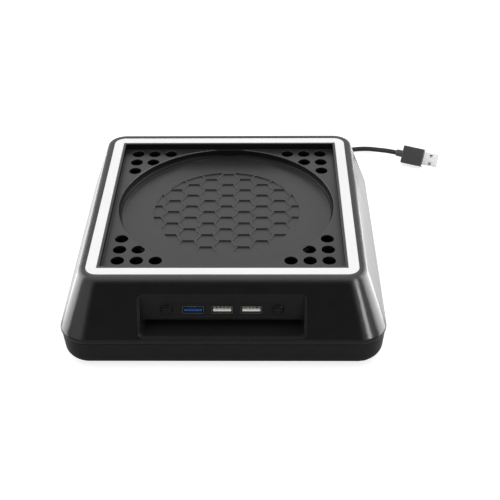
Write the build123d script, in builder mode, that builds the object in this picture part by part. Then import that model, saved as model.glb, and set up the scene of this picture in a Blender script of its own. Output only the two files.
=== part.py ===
"""Square cooling stand for a tall, square game console.

The console stands in a square tray with a round dish for its foot. A lit frame runs round
the tray, a fan in the base blows up through the air holes in the tray's corners, and the
front wall has a pocket with three USB sockets and two push buttons. The origin is on the
table under the middle of the stand, +Z is up and the front faces -Y. Sizes are in mm.
"""

import os
from math import cos, hypot, pi, radians, sin, sqrt, tan

from build123d import *

os.makedirs("parts", exist_ok=True)

# Console seat and lit frame
seat_width = 151.6
seat_depth = 5.1
tray_wall = 1.6
tray_floor = 2.0
dish_margin = 3.1
dish_setback = 3.6
dish_depth = 6.15
dish_fillet = 2.6
dish_lip = 0.4
frame_band = 6.55
frame_thickness = 3.0
frame_corner = 7.5
fit_gap = 0.1

# Air holes in the tray's corners
air_hole_diameter = 8.7
air_hole_pitch = 11.95
air_hole_inset = 9.35
air_hole_rows = 3
hole_margin = 0.6

# Honeycomb in the dish
cell_side = 8.05
cell_rib = 0.95
cell_depth = 0.9
honeycomb_radius = 49.75
honeycomb_columns = 4
cell_overlap = 3.6

# Outer walls
rim_band = 4.35
rim_corner = 12.5
rim_round = 1.5
wall_flare = 14.1
wall_rise = 38.5
widest_corner = 18.0
widest_round = 4.0
parting_inset = 0.8
parting_rise = 2.2
parting_gap = 0.3
base_inset = 1.6
base_height = 18.5
base_round = 8.0
wall = 2.4
flange_thickness = 2.0
flange_reach = 4.4
rim_inner_wall = 1.45
lip_thickness = 1.1
lip_height = 1.6
lip_ring = 3.4

# Light channel under the lit frame
channel_wall = 1.0
channel_gap = 0.3

# Rubber feet
foot_diameter = 12.0
foot_height = 2.0
foot_recess = 0.8
foot_pad = 1.0
foot_edge = 0.5
foot_inset = 14.9

# Front pocket and its ports
pocket_width = 100.6
pocket_top_drop = 9.5
panel_lower_drop = 28.95
pocket_floor_drop = 34.95
pocket_wall = 1.2
pocket_corner = 2.5
undercut_depth = 7.5
panel_thickness = 2.0
port_drop = 21.45
port_pitch = 17.9
port_band_margin = 12.2
port_band_height = 10.6
port_band_recess = 0.5

# USB sockets
socket_width = 13.1
socket_height = 5.7
socket_depth = 14.0
socket_sheet = 0.35
socket_stand_out = 0.2
socket_gap = 0.2
tongue_width = 11.0
tongue_thickness = 1.85
tongue_rise = 1.45
tongue_setback = 0.8

# Push buttons
button_diameter = 6.8
button_gap = 0.3
button_inset = 4.0
button_stand_out = 0.7
button_dish = 0.4
button_rim = 0.6
button_travel = 0.8
button_flange = 0.8
button_collar = 0.8
switch_width = 6.0
switch_depth = 3.6
plunger_diameter = 3.0
plunger_length = 0.8

# Circuit boards
board_thickness = 1.6
board_margin = 8.3
board_depth = 25.0
board_standoff = 1.5
board_boss = 4.0
connector_width = 6.0
connector_depth = 5.0
connector_height = 3.2
power_connector_x = -12.0
lights_connector_x = -30.0
fan_connector_x = 24.0
chip_x = 8.0
chip_size = 7.0
chip_height = 1.0
led_board_width = 4.2
led_board_thickness = 1.0
led_length = 3.5
led_width = 2.8
led_height = 0.8
leds_per_side = 6

# Fan
fan_size = 80.0
fan_depth = 25.0
fan_corner = 4.0
fan_flange = 3.6
fan_duct_wall = 1.5
fan_hole_inset = 4.25
fan_hole_diameter = 4.3
fan_duct_skin = 0.3
fan_standoff = 1.6
blade_count = 7
blade_gap = 0.9
blade_thickness = 1.3
blade_root_pitch = 48.0
blade_tip_pitch = 30.0
hub_diameter = 34.0
hub_wall = 1.5
hub_recess = 1.0
strut_width = 4.0
strut_count = 4
motor_plate = 2.4
motor_gap = 0.7
magnet_thickness = 1.8
shaft_diameter = 2.0
shaft_gap = 0.03
bearing_diameter = 6.0
bearing_tube_wall = 1.3
shaft_boss_height = 4.0
stator_poles = 4

# Inner leads
lead_diameter = 2.2
lead_exit = 9.0
lead_bend = 7.0
led_lead_inset = 25.8
led_lead_drop = 8.0
led_lead_turn = 16.0
led_lead_back = 14.0
power_lead_exit = 12.0
power_lead_gap = 14.0
power_lead_run = 22.0
power_lead_rise = 4.0

# Bottom grille
grille_rings = 5
grille_bar = 2.4
grille_spokes = 8
grille_hub = 8.0

# Screws
housing_screw = 3.0
housing_screw_head = 5.6
housing_screw_head_height = 2.0
housing_screw_grip = 12.0
housing_screw_hole = 16.0
housing_screw_cover = 6.2
housing_boss = 8.0
housing_boss_drop = 7.7
housing_boss_inset_x = 8.5
housing_boss_inset_y = 20.0
tray_screw = 2.0
tray_screw_head = 5.4
tray_screw_head_height = 1.0
tray_screw_length = 3.4
tray_boss = 4.2
tray_boss_inset = 2.3
board_screw = 2.0
board_screw_head = 3.8
board_screw_head_height = 1.3
fan_screw_head = 7.4
fan_screw_head_height = 2.0
fan_screw_sink = 2.2
head_gap = 0.3

# USB lead
cable_diameter = 3.8
cable_exit_x = -40.0
cable_exit_height = 11.0
relief_length = 13.0
relief_tip = 5.2
relief_root = 7.2
relief_flange = 9.4
relief_rings = 4
relief_groove = 1.0
relief_groove_depth = 0.5
plug_length = 17.65
plug_width = 14.4
plug_thickness = 8.0
plug_corner = 1.0
plug_edge = 0.6
plug_nose = (156.1, 145.75)
plug_heading = -24.9
plug_lean = 30.0
plug_shell_length = 12.3
plug_shell_width = 12.0
plug_shell_thickness = 4.5
plug_sheet = 0.35
plug_hole = 2.2
plug_hole_setback = 6.2
plug_hole_pitch = 6.0
plug_hover = 0.05
boot_length = 6.0
boot_diameter = 5.6
boot_round = 0.8
boot_heading = -33.0
boot_climb = 6.0
boot_run = 8.0

# Levels
base_bottom = foot_height
parting_height = base_bottom + base_height
housing_bottom = parting_height + parting_gap
widest_height = housing_bottom + parting_rise
top_height = widest_height + wall_rise
tray_top = top_height - seat_depth
tray_underside = tray_top - tray_floor
flange_top = tray_underside
flange_under = flange_top - flange_thickness
dish_top = tray_top - dish_depth
base_floor_top = base_bottom + wall
fan_bottom = base_floor_top + fan_standoff
fan_top = fan_bottom + fan_depth

# Half widths
seat_half = seat_width / 2
tray_half = seat_half + tray_wall
frame_inner = tray_half + fit_gap
frame_outer = frame_inner + frame_band
frame_recess = frame_outer + fit_gap
top_half = frame_recess + rim_band
widest_half = top_half + wall_flare
parting_half = widest_half - parting_inset
base_half = parting_half - base_inset
wall_slope = wall_flare / wall_rise

dish_radius = seat_half - dish_margin
channel_inner = frame_inner + channel_wall
channel_outer = channel_inner + led_board_width + channel_gap
frame_seat = top_height - frame_thickness


def outer_half(height):
    """Half width of the housing's sloping wall at a height above the widest level."""
    return top_half + (top_height - height) * wall_slope


def outer_corner(height):
    """Corner radius of the sloping wall at a height above the widest level."""
    share = (top_height - height) / wall_rise
    return rim_corner + (widest_corner - rim_corner) * share


def write(piece, name):
    """Label a finished piece and write its file."""
    piece.label = name
    export_step(piece, f"parts/{name}.step")


def housing_levels(inset, top):
    """Height, width and corner radius of the housing from its bottom up to a level."""
    levels = [(housing_bottom, parting_half, widest_corner)]
    levels.append((widest_height, widest_half, widest_corner))
    levels.append((top, outer_half(top), outer_corner(top)))
    return [(height, 2 * (half - inset), corner - inset) for height, half, corner in levels]


def stacked_form(levels):
    """Solid through rounded squares, each given as height, width and corner radius."""
    with BuildPart() as form:
        for height, width, corner in levels:
            with BuildSketch(Plane.XY.offset(height)):
                RectangleRounded(width, width, corner)
        loft(ruled=True)
    return form.part


def edges_at(part, height):
    """Edges that lie flat at a height."""
    return part.edges().filter_by_position(Axis.Z, height - 0.01, height + 0.01)


def front_plane(x, y, z):
    """Plane of the front view at a point, facing the front."""
    return Plane(origin=(x, y, z), x_dir=(1, 0, 0), z_dir=(0, -1, 0))


# Outside of the upper housing, which the front pocket's insert shares
with BuildPart() as housing_outside:
    add(stacked_form(housing_levels(0, top_height)))
    fillet(edges_at(housing_outside, widest_height), widest_round)
    fillet(edges_at(housing_outside, top_height), rim_round)

# Front pocket
pocket_top = top_height - pocket_top_drop
pocket_floor = top_height - pocket_floor_drop
panel_lower = top_height - panel_lower_drop
panel_face = -outer_half(pocket_top)
panel_back = panel_face + panel_thickness
band_face = panel_face + port_band_recess
insert_half = pocket_width / 2 + pocket_wall
insert_bottom = pocket_floor - pocket_wall
insert_back = panel_face + undercut_depth + pocket_wall
port_height = top_height - port_drop
front_reach = widest_half + foot_inset

# Space inside the upper housing, between its rim and the light channel
rim_floor = top_height - wall
rim_hollow_inner = frame_recess + rim_inner_wall
with BuildPart() as rim_hollow:
    add(stacked_form([
        (flange_under, 2 * (outer_half(flange_under) - wall), outer_corner(flange_under) - wall),
        (rim_floor, 2 * (outer_half(rim_floor) - wall), outer_corner(rim_floor) - wall),
    ]))
    with BuildSketch(Plane.XY.offset(flange_under)):
        RectangleRounded(2 * rim_hollow_inner, 2 * rim_hollow_inner, frame_corner)
    extrude(amount=top_height - flange_under, mode=Mode.SUBTRACT)

housing_boss_spots = [
    (x * (top_half - housing_boss_inset_x), y * (top_half - housing_boss_inset_y))
    for x in (-1, 1) for y in (-1, 1)
]
tray_boss_spots = [
    (x * (seat_half - tray_boss_inset), y * (seat_half - tray_boss_inset))
    for x in (-1, 1) for y in (-1, 1)
]
boss_bottom = base_floor_top + housing_boss_drop
screw_head_level = base_bottom + housing_screw_cover
led_lead_spot = (-(channel_inner + channel_outer) / 2, -seat_half + led_lead_inset)


def drawn_window(width, bottom, top, corner):
    """Face in the front view, with both lower corners rounded."""
    with BuildSketch(Plane.XZ) as window:
        with Locations((0, (bottom + top) / 2)):
            Rectangle(width, top - bottom)
        fillet(window.vertices().group_by(Axis.Z)[0], corner)
    return window.sketch


# Upper housing
housing_window = drawn_window(2 * (insert_half + fit_gap), insert_bottom - fit_gap, pocket_top,
                              pocket_corner + pocket_wall)
housing_room = stacked_form(housing_levels(wall, flange_under))
with BuildPart() as upper_housing:
    add(housing_outside.part)
    add(housing_room, mode=Mode.SUBTRACT)
    add(rim_hollow.part, mode=Mode.SUBTRACT)
    with BuildSketch(Plane.XY.offset(housing_bottom)):
        rebate = 2 * (parting_half - wall + lip_thickness + fit_gap)
        RectangleRounded(rebate, rebate, widest_corner - wall + lip_thickness)
    extrude(amount=lip_height, mode=Mode.SUBTRACT)
    with BuildSketch(Plane.XY.offset(frame_seat)):
        RectangleRounded(2 * frame_recess, 2 * frame_recess, frame_corner)
    extrude(amount=frame_thickness, mode=Mode.SUBTRACT)
    with BuildSketch(Plane.XY.offset(flange_top)):
        Rectangle(2 * channel_outer, 2 * channel_outer)
        Rectangle(2 * channel_inner, 2 * channel_inner, mode=Mode.SUBTRACT)
        Rectangle(2 * frame_inner, 2 * frame_inner)
    extrude(amount=frame_seat - flange_top, mode=Mode.SUBTRACT)
    with BuildSketch(Plane.XY.offset(flange_under)):
        Rectangle(2 * (tray_half - flange_reach), 2 * (tray_half - flange_reach))
        with Locations((0, dish_setback)):
            Circle(dish_radius + tray_wall + channel_gap)
        Rectangle(2 * frame_inner, 2 * frame_inner, mode=Mode.INTERSECT)
        with Locations(*tray_boss_spots):
            Circle(tray_boss / 2 + fit_gap)
        with Locations(led_lead_spot):
            Circle(lead_diameter / 2 + fit_gap)
    extrude(amount=flange_thickness, mode=Mode.SUBTRACT)
    with BuildSketch(Plane.XY.offset(boss_bottom)):
        with Locations(*housing_boss_spots):
            Circle(housing_boss / 2)
    extrude(amount=flange_under - boss_bottom)
    with BuildSketch(Plane.XY.offset(boss_bottom)):
        with Locations(*housing_boss_spots):
            Circle(housing_screw / 2)
    extrude(amount=housing_screw_hole, mode=Mode.SUBTRACT)
    extrude(housing_window, amount=front_reach, mode=Mode.SUBTRACT)
write(upper_housing.part, "upper_housing")


# Console tray with its round dish
def hole_spots(corner_x, corner_y):
    """Air hole centres in one corner of the tray, three in a triangle's outer row."""
    first = seat_half - air_hole_inset
    return [
        (corner_x * (first - column * air_hole_pitch),
         dish_setback + corner_y * (first - row * air_hole_pitch))
        for row in range(air_hole_rows) for column in range(air_hole_rows - row)
    ]


def honeycomb_spots():
    """Centres of the cells that reach well into the honeycomb's circle."""
    spots = []
    row_pitch = cell_side * sqrt(3)
    for column in range(-honeycomb_columns, honeycomb_columns + 1):
        shift = row_pitch / 2 if column % 2 else 0
        for row in range(-honeycomb_columns, honeycomb_columns + 1):
            spot = (column * 1.5 * cell_side, row * row_pitch + shift)
            if hypot(*spot) < honeycomb_radius + cell_overlap:
                spots.append(spot)
    return spots


# Space of the dish, turned about its own axis and kept inside the tray's walls
with BuildPart() as dish_space:
    with BuildSketch(Plane.XZ.offset(-dish_setback)):
        with BuildLine():
            Line((0, dish_top), (dish_radius - dish_fillet, dish_top))
            TangentArc((dish_radius - dish_fillet, dish_top), (dish_radius, dish_top + dish_fillet),
                       tangent=(1, 0))
            Line((dish_radius, dish_top + dish_fillet), (dish_radius, tray_top - dish_lip))
            TangentArc((dish_radius, tray_top - dish_lip), (dish_radius + dish_lip, tray_top),
                       tangent=(0, 1))
            Polyline((dish_radius + dish_lip, tray_top), (dish_radius + dish_lip, top_height),
                     (0, top_height), (0, dish_top))
        make_face()
    revolve(axis=Axis((0, dish_setback, 0), (0, 0, 1)))
    with BuildSketch(Plane.XY.offset(dish_top)):
        Rectangle(seat_width, seat_width)
    extrude(amount=seat_depth + dish_depth, mode=Mode.INTERSECT)

cup_bottom = dish_top - tray_floor
with BuildPart() as tray:
    with BuildSketch(Plane.XY.offset(tray_underside)):
        Rectangle(2 * tray_half, 2 * tray_half)
    extrude(amount=top_height - tray_underside)
    with BuildSketch(Plane.XY.offset(cup_bottom)):
        with Locations((0, dish_setback)):
            Circle(dish_radius + tray_wall)
        Rectangle(2 * tray_half, 2 * tray_half, mode=Mode.INTERSECT)
    extrude(amount=tray_underside - cup_bottom)
    with BuildSketch(Plane.XY.offset(flange_under + fit_gap)):
        with Locations(*tray_boss_spots):
            Circle(tray_boss / 2)
    extrude(amount=tray_underside - flange_under - fit_gap)
    with BuildSketch(Plane.XY.offset(tray_top)):
        Rectangle(seat_width, seat_width)
    extrude(amount=seat_depth, mode=Mode.SUBTRACT)
    with BuildSketch(Plane.XY.offset(tray_underside)):
        for corner_x in (-1, 1):
            for corner_y in (-1, 1):
                with Locations(*hole_spots(corner_x, corner_y)):
                    Circle(air_hole_diameter / 2)
        with Locations((0, dish_setback)):
            Circle(dish_radius + hole_margin, mode=Mode.SUBTRACT)
    extrude(amount=tray_floor, mode=Mode.SUBTRACT)
    add(dish_space.part, mode=Mode.SUBTRACT)
    with BuildSketch(Plane.XY.offset(dish_top)):
        with Locations((0, dish_setback)):
            with Locations(*honeycomb_spots()):
                RegularPolygon(cell_side - cell_rib / sqrt(3), 6)
            Circle(honeycomb_radius, mode=Mode.INTERSECT)
    extrude(amount=-cell_depth, mode=Mode.SUBTRACT)
    with BuildSketch(Plane.XY.offset(flange_under)):
        with Locations(*tray_boss_spots):
            Circle(tray_screw / 2)
    extrude(amount=tray_screw_length, mode=Mode.SUBTRACT)
write(tray.part, "tray")

# Lit frame, its circuit board and its lamps
with BuildPart() as light_frame:
    with BuildSketch(Plane.XY.offset(frame_seat)):
        RectangleRounded(2 * frame_outer, 2 * frame_outer, frame_corner)
        Rectangle(2 * frame_inner, 2 * frame_inner, mode=Mode.SUBTRACT)
    extrude(amount=frame_thickness)
write(light_frame.part, "light_frame")

led_board_inner = channel_inner + channel_gap / 2
led_board_middle = led_board_inner + led_board_width / 2
led_board_top = flange_top + led_board_thickness
with BuildPart() as led_board:
    with BuildSketch(Plane.XY.offset(flange_top)):
        Rectangle(2 * (led_board_inner + led_board_width), 2 * (led_board_inner + led_board_width))
        Rectangle(2 * led_board_inner, 2 * led_board_inner, mode=Mode.SUBTRACT)
    extrude(amount=led_board_thickness)
write(led_board.part, "led_board")

led_pitch = 2 * channel_inner / leds_per_side
with BuildPart() as leds:
    with BuildSketch(Plane.XY.offset(led_board_top)):
        for side in (-1, 1):
            with Locations((0, side * led_board_middle)):
                with GridLocations(led_pitch, 1, leds_per_side, 1):
                    Rectangle(led_length, led_width)
            with Locations((side * led_board_middle, 0)):
                with GridLocations(1, led_pitch, 1, leds_per_side):
                    Rectangle(led_width, led_length)
    extrude(amount=led_height)
write(leds.part, "leds")

# Base shell with its intake grille
fan_hole_offset = fan_size / 2 - fan_hole_inset
fan_screw_spots = [(x * fan_hole_offset, y * fan_hole_offset) for x in (-1, 1) for y in (-1, 1)]
duct_radius = fan_size / 2 - fan_duct_wall
grille_pitch = (duct_radius - grille_hub + grille_bar) / grille_rings
foot_spots = [
    (x * (widest_half - foot_inset), y * (widest_half - foot_inset)) for x in (-1, 1) for y in (-1, 1)
]
with BuildPart() as base_room:
    add(stacked_form([
        (base_floor_top, 2 * (base_half - wall), widest_corner - base_inset - wall),
        (parting_height, 2 * (parting_half - wall), widest_corner - wall),
    ]))
    fillet(edges_at(base_room, base_floor_top), base_round - wall)

with BuildPart() as base_shell:
    add(stacked_form([
        (base_bottom, 2 * base_half, widest_corner - base_inset),
        (parting_height, 2 * parting_half, widest_corner),
    ]))
    fillet(edges_at(base_shell, base_bottom), base_round)
    with BuildSketch(Plane.XY.offset(base_bottom)):
        with Locations(*foot_spots):
            Circle(foot_diameter / 2 + foot_pad)
    extrude(amount=base_round)
    add(base_room.part, mode=Mode.SUBTRACT)
    with BuildSketch(Plane.XY.offset(parting_height - lip_height)):
        lip_outer = 2 * (parting_half - wall + lip_thickness)
        lip_inner = lip_outer - lip_ring
        RectangleRounded(lip_outer, lip_outer, widest_corner - wall + lip_thickness)
        RectangleRounded(lip_inner, lip_inner, widest_corner - wall - lip_thickness, mode=Mode.SUBTRACT)
    extrude(amount=2 * lip_height + parting_gap - fit_gap)
    with BuildSketch(Plane.XY.offset(base_floor_top)):
        with Locations(*fan_screw_spots):
            Circle(housing_boss / 2)
    extrude(amount=fan_standoff)
    with BuildSketch(Plane.XY.offset(base_floor_top)):
        with Locations(*housing_boss_spots):
            Circle(housing_boss / 2)
    extrude(amount=boss_bottom - base_floor_top)
    with BuildSketch(Plane.XY.offset(base_bottom)):
        with Locations(*housing_boss_spots):
            Circle(housing_screw_head / 2 + head_gap)
    extrude(amount=screw_head_level - base_bottom, mode=Mode.SUBTRACT)
    with BuildSketch(Plane.XY.offset(base_bottom)):
        with Locations(*housing_boss_spots):
            Circle(housing_screw / 2 + fit_gap)
    extrude(amount=boss_bottom - base_bottom, mode=Mode.SUBTRACT)
    with BuildSketch(Plane.XY.offset(base_bottom)):
        with Locations(*fan_screw_spots):
            Circle(fan_screw_head / 2 + head_gap)
    extrude(amount=fan_screw_sink, mode=Mode.SUBTRACT)
    with BuildSketch(Plane.XY.offset(base_bottom)):
        with Locations(*fan_screw_spots):
            Circle(fan_hole_diameter / 2 + fit_gap)
    extrude(amount=fan_bottom - base_bottom, mode=Mode.SUBTRACT)
    with BuildSketch(Plane.XY.offset(base_bottom)):
        with Locations(*foot_spots):
            Circle(foot_diameter / 2 + fit_gap)
    extrude(amount=foot_recess, mode=Mode.SUBTRACT)
    with BuildSketch(Plane.XY.offset(base_bottom)):
        for ring in reversed(range(grille_rings)):
            slot_inner = grille_hub + ring * grille_pitch
            Circle(slot_inner + grille_pitch - grille_bar)
            Circle(slot_inner, mode=Mode.SUBTRACT)
        with PolarLocations(0, grille_spokes // 2, angular_range=180):
            Rectangle(2 * fan_size, grille_bar, mode=Mode.SUBTRACT)
    extrude(amount=wall, mode=Mode.SUBTRACT)
    with BuildSketch(Plane.XZ.offset(-base_half + 2 * wall)):
        with Locations((cable_exit_x, cable_exit_height)):
            Circle(relief_root / 2)
    extrude(amount=-4 * wall, mode=Mode.SUBTRACT)
    with BuildSketch(Plane.XZ.offset(-base_half + wall)):
        with Locations((cable_exit_x, cable_exit_height)):
            Circle(relief_flange / 2 + fit_gap)
    extrude(amount=2 * wall, mode=Mode.SUBTRACT)
write(base_shell.part, "base_shell")

# Rubber feet
foot_names = ("rear_right_foot", "front_right_foot", "rear_left_foot", "front_left_foot")
for (foot_x, foot_y), foot_name in zip(sorted(foot_spots, reverse=True), foot_names):
    with BuildPart() as foot:
        with BuildSketch(Plane.XY):
            with Locations((foot_x, foot_y)):
                Circle(foot_diameter / 2)
        extrude(amount=foot_height + foot_recess)
        chamfer(edges_at(foot, 0), foot_edge)
    write(foot.part, foot_name)

# Front pocket's insert, which carries the ports, the buttons and the circuit board
port_band_width = pocket_width - 2 * port_band_margin
button_offset = port_band_width / 2 - button_inset
board_width = pocket_width - 2 * board_margin
socket_spots = {"left": -port_pitch, "middle": 0.0, "right": port_pitch}
button_spots = {"power": -button_offset, "light": button_offset}
board_top = port_height - socket_height / 2
board_bottom = board_top - board_thickness
shelf_top = board_bottom - board_standoff
collar_front = panel_back + fit_gap
collar_back = collar_front + button_collar
plunger_front = collar_back + button_travel + fit_gap
board_front = plunger_front + plunger_length
board_back = board_front + board_depth
board_screw_spots = [
    (side * x, y) for side in (-1, 1)
    for x, y in (
        (port_pitch + socket_width / 2 + board_screw_head, board_front + board_screw_head),
        (board_width / 2 - board_screw_head, board_back - board_screw_head),
    )
]
insert_window = drawn_window(2 * insert_half, insert_bottom, pocket_top, pocket_corner + pocket_wall)
pocket_window = drawn_window(pocket_width, pocket_floor, top_height, pocket_corner)
undercut_window = drawn_window(pocket_width, pocket_floor, panel_lower, pocket_corner)


with BuildPart() as port_panel:
    add(housing_outside.part)
    extrude(insert_window, amount=front_reach, mode=Mode.INTERSECT)
    with BuildSketch(Plane.XY.offset(insert_bottom)):
        with Locations((0, insert_back)):
            Rectangle(2 * front_reach, front_reach, align=(Align.CENTER, Align.MIN))
    extrude(amount=top_height, mode=Mode.SUBTRACT)
    extrude(pocket_window.moved(Pos(0, panel_face, 0)), amount=front_reach, mode=Mode.SUBTRACT)
    extrude(undercut_window.moved(Pos(0, insert_back - pocket_wall, 0)), amount=undercut_depth,
            mode=Mode.SUBTRACT)
    with BuildSketch(Plane.XY.offset(shelf_top)):
        with Locations((0, panel_back)):
            Rectangle(pocket_width, front_reach, align=(Align.CENTER, Align.MIN))
    extrude(amount=top_height, mode=Mode.SUBTRACT)
    with BuildSketch(Plane.XY.offset(panel_lower)):
        with Locations((0, panel_back)):
            Rectangle(board_width, board_back - panel_back, align=(Align.CENTER, Align.MIN))
    extrude(amount=shelf_top - panel_lower)
    with BuildSketch(Plane.XY.offset(shelf_top)):
        with Locations(*board_screw_spots):
            Circle(board_boss / 2)
    extrude(amount=board_standoff)
    with BuildSketch(Plane.XY.offset(panel_lower)):
        with Locations(*board_screw_spots):
            Circle(board_screw / 2)
    extrude(amount=board_bottom - panel_lower, mode=Mode.SUBTRACT)
    with BuildSketch(front_plane(0, panel_face, port_height)):
        Rectangle(port_band_width, port_band_height)
    extrude(amount=-port_band_recess, mode=Mode.SUBTRACT)
    with BuildSketch(front_plane(0, panel_face, port_height)):
        with Locations(*[(x, 0) for x in socket_spots.values()]):
            RectangleRounded(socket_width + 2 * socket_gap, socket_height + 2 * socket_gap, 3 * socket_gap)
        with Locations(*[(x, 0) for x in button_spots.values()]):
            Circle(button_diameter / 2 + button_gap)
    extrude(amount=-panel_thickness, mode=Mode.SUBTRACT)
write(port_panel.part, "port_panel")

# USB sockets
socket_front = band_face - socket_stand_out
socket_back = socket_front + socket_depth
tongue_level = port_height - socket_height / 2 + tongue_rise + tongue_thickness / 2
for side, socket_x in socket_spots.items():
    with BuildPart() as shell:
        with BuildSketch(front_plane(socket_x, socket_front, port_height)):
            RectangleRounded(socket_width, socket_height, 2 * socket_sheet)
            Rectangle(socket_width - 2 * socket_sheet, socket_height - 2 * socket_sheet, mode=Mode.SUBTRACT)
        extrude(amount=-socket_depth)
    write(shell.part, f"usb_shell_{side}")
    with BuildPart() as tongue:
        with BuildSketch(front_plane(socket_x, socket_back, port_height)):
            Rectangle(socket_width - 2 * socket_sheet, socket_height - 2 * socket_sheet)
        extrude(amount=socket_depth / 4)
        with BuildSketch(front_plane(socket_x, socket_back, tongue_level)):
            Rectangle(tongue_width, tongue_thickness)
        extrude(amount=socket_depth - tongue_setback)
    write(tongue.part, f"usb_tongue_{side}")

# Push buttons with hollow faces and the switches behind them
dish_chord = button_diameter / 2 - button_rim
dish_ball = (dish_chord**2 + button_dish**2) / (2 * button_dish)
for name, button_x in button_spots.items():
    front = front_plane(button_x, band_face - button_stand_out, port_height)
    with BuildPart() as button:
        with BuildSketch(front):
            Circle(button_diameter / 2)
        extrude(amount=-(collar_front - band_face + button_stand_out))
        with BuildSketch(front.offset(-(collar_front - band_face + button_stand_out))):
            Circle(button_diameter / 2 + button_gap + button_flange)
        extrude(amount=-button_collar)
        fillet(button.edges().sort_by(Axis.Y)[0], button_stand_out / 2)
        with Locations(front.offset(dish_ball - button_dish).origin):
            Sphere(dish_ball, mode=Mode.SUBTRACT)
    write(button.part, f"{name}_button")
    with BuildPart() as switch:
        with BuildSketch(Plane.XY.offset(board_top)):
            with Locations((button_x, board_front)):
                Rectangle(switch_width, switch_depth, align=(Align.CENTER, Align.MIN))
        extrude(amount=2 * (port_height - board_top))
        with BuildSketch(front_plane(button_x, board_front, port_height)):
            Circle(plunger_diameter / 2)
        extrude(amount=plunger_length)
    write(switch.part, f"{name}_switch")

# Hub board, its parts and its screws
connector_spots = {"power": power_connector_x, "lights": lights_connector_x, "fan": fan_connector_x}
with BuildPart() as hub_board:
    with BuildSketch(Plane.XY.offset(board_bottom)):
        with Locations((0, board_front)):
            Rectangle(board_width, board_depth, align=(Align.CENTER, Align.MIN))
        with Locations(*board_screw_spots):
            Circle(board_screw / 2 + fit_gap, mode=Mode.SUBTRACT)
    extrude(amount=board_thickness)
write(hub_board.part, "hub_board")

with BuildPart() as board_parts:
    with BuildSketch(Plane.XY.offset(board_top)):
        with Locations(*[(x, board_back) for x in connector_spots.values()]):
            Rectangle(connector_width, connector_depth, align=(Align.CENTER, Align.MAX))
    extrude(amount=connector_height)
    with BuildSketch(Plane.XY.offset(board_top)):
        with Locations((chip_x, board_back - 2 * connector_depth)):
            Rectangle(chip_size, chip_size, rotation=45)
    extrude(amount=chip_height)
write(board_parts.part, "board_parts")


def screw_group(spots, seat, head, head_height, shank, reach):
    """Screws with round heads on a seat, their shanks reaching up (or down) from it."""
    upward = 1 if reach > 0 else -1
    with BuildPart() as group:
        with BuildSketch(Plane.XY.offset(seat)):
            with Locations(*spots):
                Circle(head / 2)
        extrude(amount=-upward * head_height)
        with BuildSketch(Plane.XY.offset(seat)):
            with Locations(*spots):
                Circle(shank / 2)
        extrude(amount=reach)
    return group.part


housing_screw_reach = boss_bottom + housing_screw_grip - screw_head_level
write(screw_group(housing_boss_spots, screw_head_level, housing_screw_head, housing_screw_head_height,
                  housing_screw, housing_screw_reach), "housing_screws")
write(screw_group(tray_boss_spots, flange_under, tray_screw_head, tray_screw_head_height,
                  tray_screw, tray_screw_length), "tray_screws")
write(screw_group(board_screw_spots, board_top, board_screw_head, board_screw_head_height,
                  board_screw, panel_lower - board_top), "board_screws")
fan_screw_seat = base_bottom + fan_screw_sink
write(screw_group(fan_screw_spots, fan_screw_seat, fan_screw_head, fan_screw_head_height,
                  fan_hole_diameter, fan_bottom + fan_flange - fan_screw_seat), "fan_screws")

# Fan frame with its duct, struts and motor plate
hub_radius = hub_diameter / 2
motor_plate_under = fan_top - motor_plate
hub_bottom = fan_bottom + hub_recess
bearing_bottom = hub_bottom + shaft_boss_height + motor_gap
with BuildPart() as fan_frame:
    with BuildSketch(Plane.XY.offset(fan_bottom)):
        RectangleRounded(fan_size, fan_size, fan_corner)
        Circle(duct_radius, mode=Mode.SUBTRACT)
    extrude(amount=fan_depth)
    with BuildSketch(Plane.XY.offset(fan_bottom + fan_flange)):
        Rectangle(fan_size, fan_size)
        Circle(fan_size / 2 - fan_duct_skin, mode=Mode.SUBTRACT)
    extrude(amount=fan_depth - 2 * fan_flange, mode=Mode.SUBTRACT)
    with BuildSketch(Plane.XY.offset(motor_plate_under)):
        Circle(hub_radius)
        with PolarLocations(0, strut_count, start_angle=20):
            Rectangle(duct_radius + fan_duct_wall / 2, strut_width, align=(Align.MIN, Align.CENTER))
    extrude(amount=motor_plate)
    with BuildSketch(Plane.XY.offset(bearing_bottom)):
        Circle(bearing_diameter / 2 + bearing_tube_wall)
    extrude(amount=motor_plate_under - bearing_bottom)
    with BuildSketch(Plane.XY.offset(bearing_bottom)):
        Circle(bearing_diameter / 2)
    extrude(amount=motor_plate_under - bearing_bottom, mode=Mode.SUBTRACT)
    with BuildSketch(Plane.XY.offset(fan_bottom)):
        with Locations(*fan_screw_spots):
            Circle(fan_hole_diameter / 2)
    extrude(amount=fan_depth, mode=Mode.SUBTRACT)
write(fan_frame.part, "fan_frame")

# Fan rotor
rotor_top = motor_plate_under - 2 * motor_gap - board_thickness
blade_tip_radius = duct_radius - blade_gap
blade_middle = (hub_bottom + rotor_top) / 2


def blade_section(radius, chord, pitch):
    """Thin curved section of a blade, square to a radius, with its chord at a pitch angle."""
    along_chord = (0, cos(radians(pitch)), sin(radians(pitch)))
    camber = chord / 9
    blade_plane = Plane(origin=(radius, 0, blade_middle), x_dir=along_chord, z_dir=(1, 0, 0))
    with BuildSketch(blade_plane) as section:
        with BuildLine():
            ThreePointArc((-chord / 2, 0), (0, camber), (chord / 2, 0))
            Line((chord / 2, 0), (chord / 2, -blade_thickness / 2))
            ThreePointArc((chord / 2, -blade_thickness / 2), (0, camber - blade_thickness),
                          (-chord / 2, -blade_thickness / 2))
            Line((-chord / 2, -blade_thickness / 2), (-chord / 2, 0))
        make_face()
    return section.sketch


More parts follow.
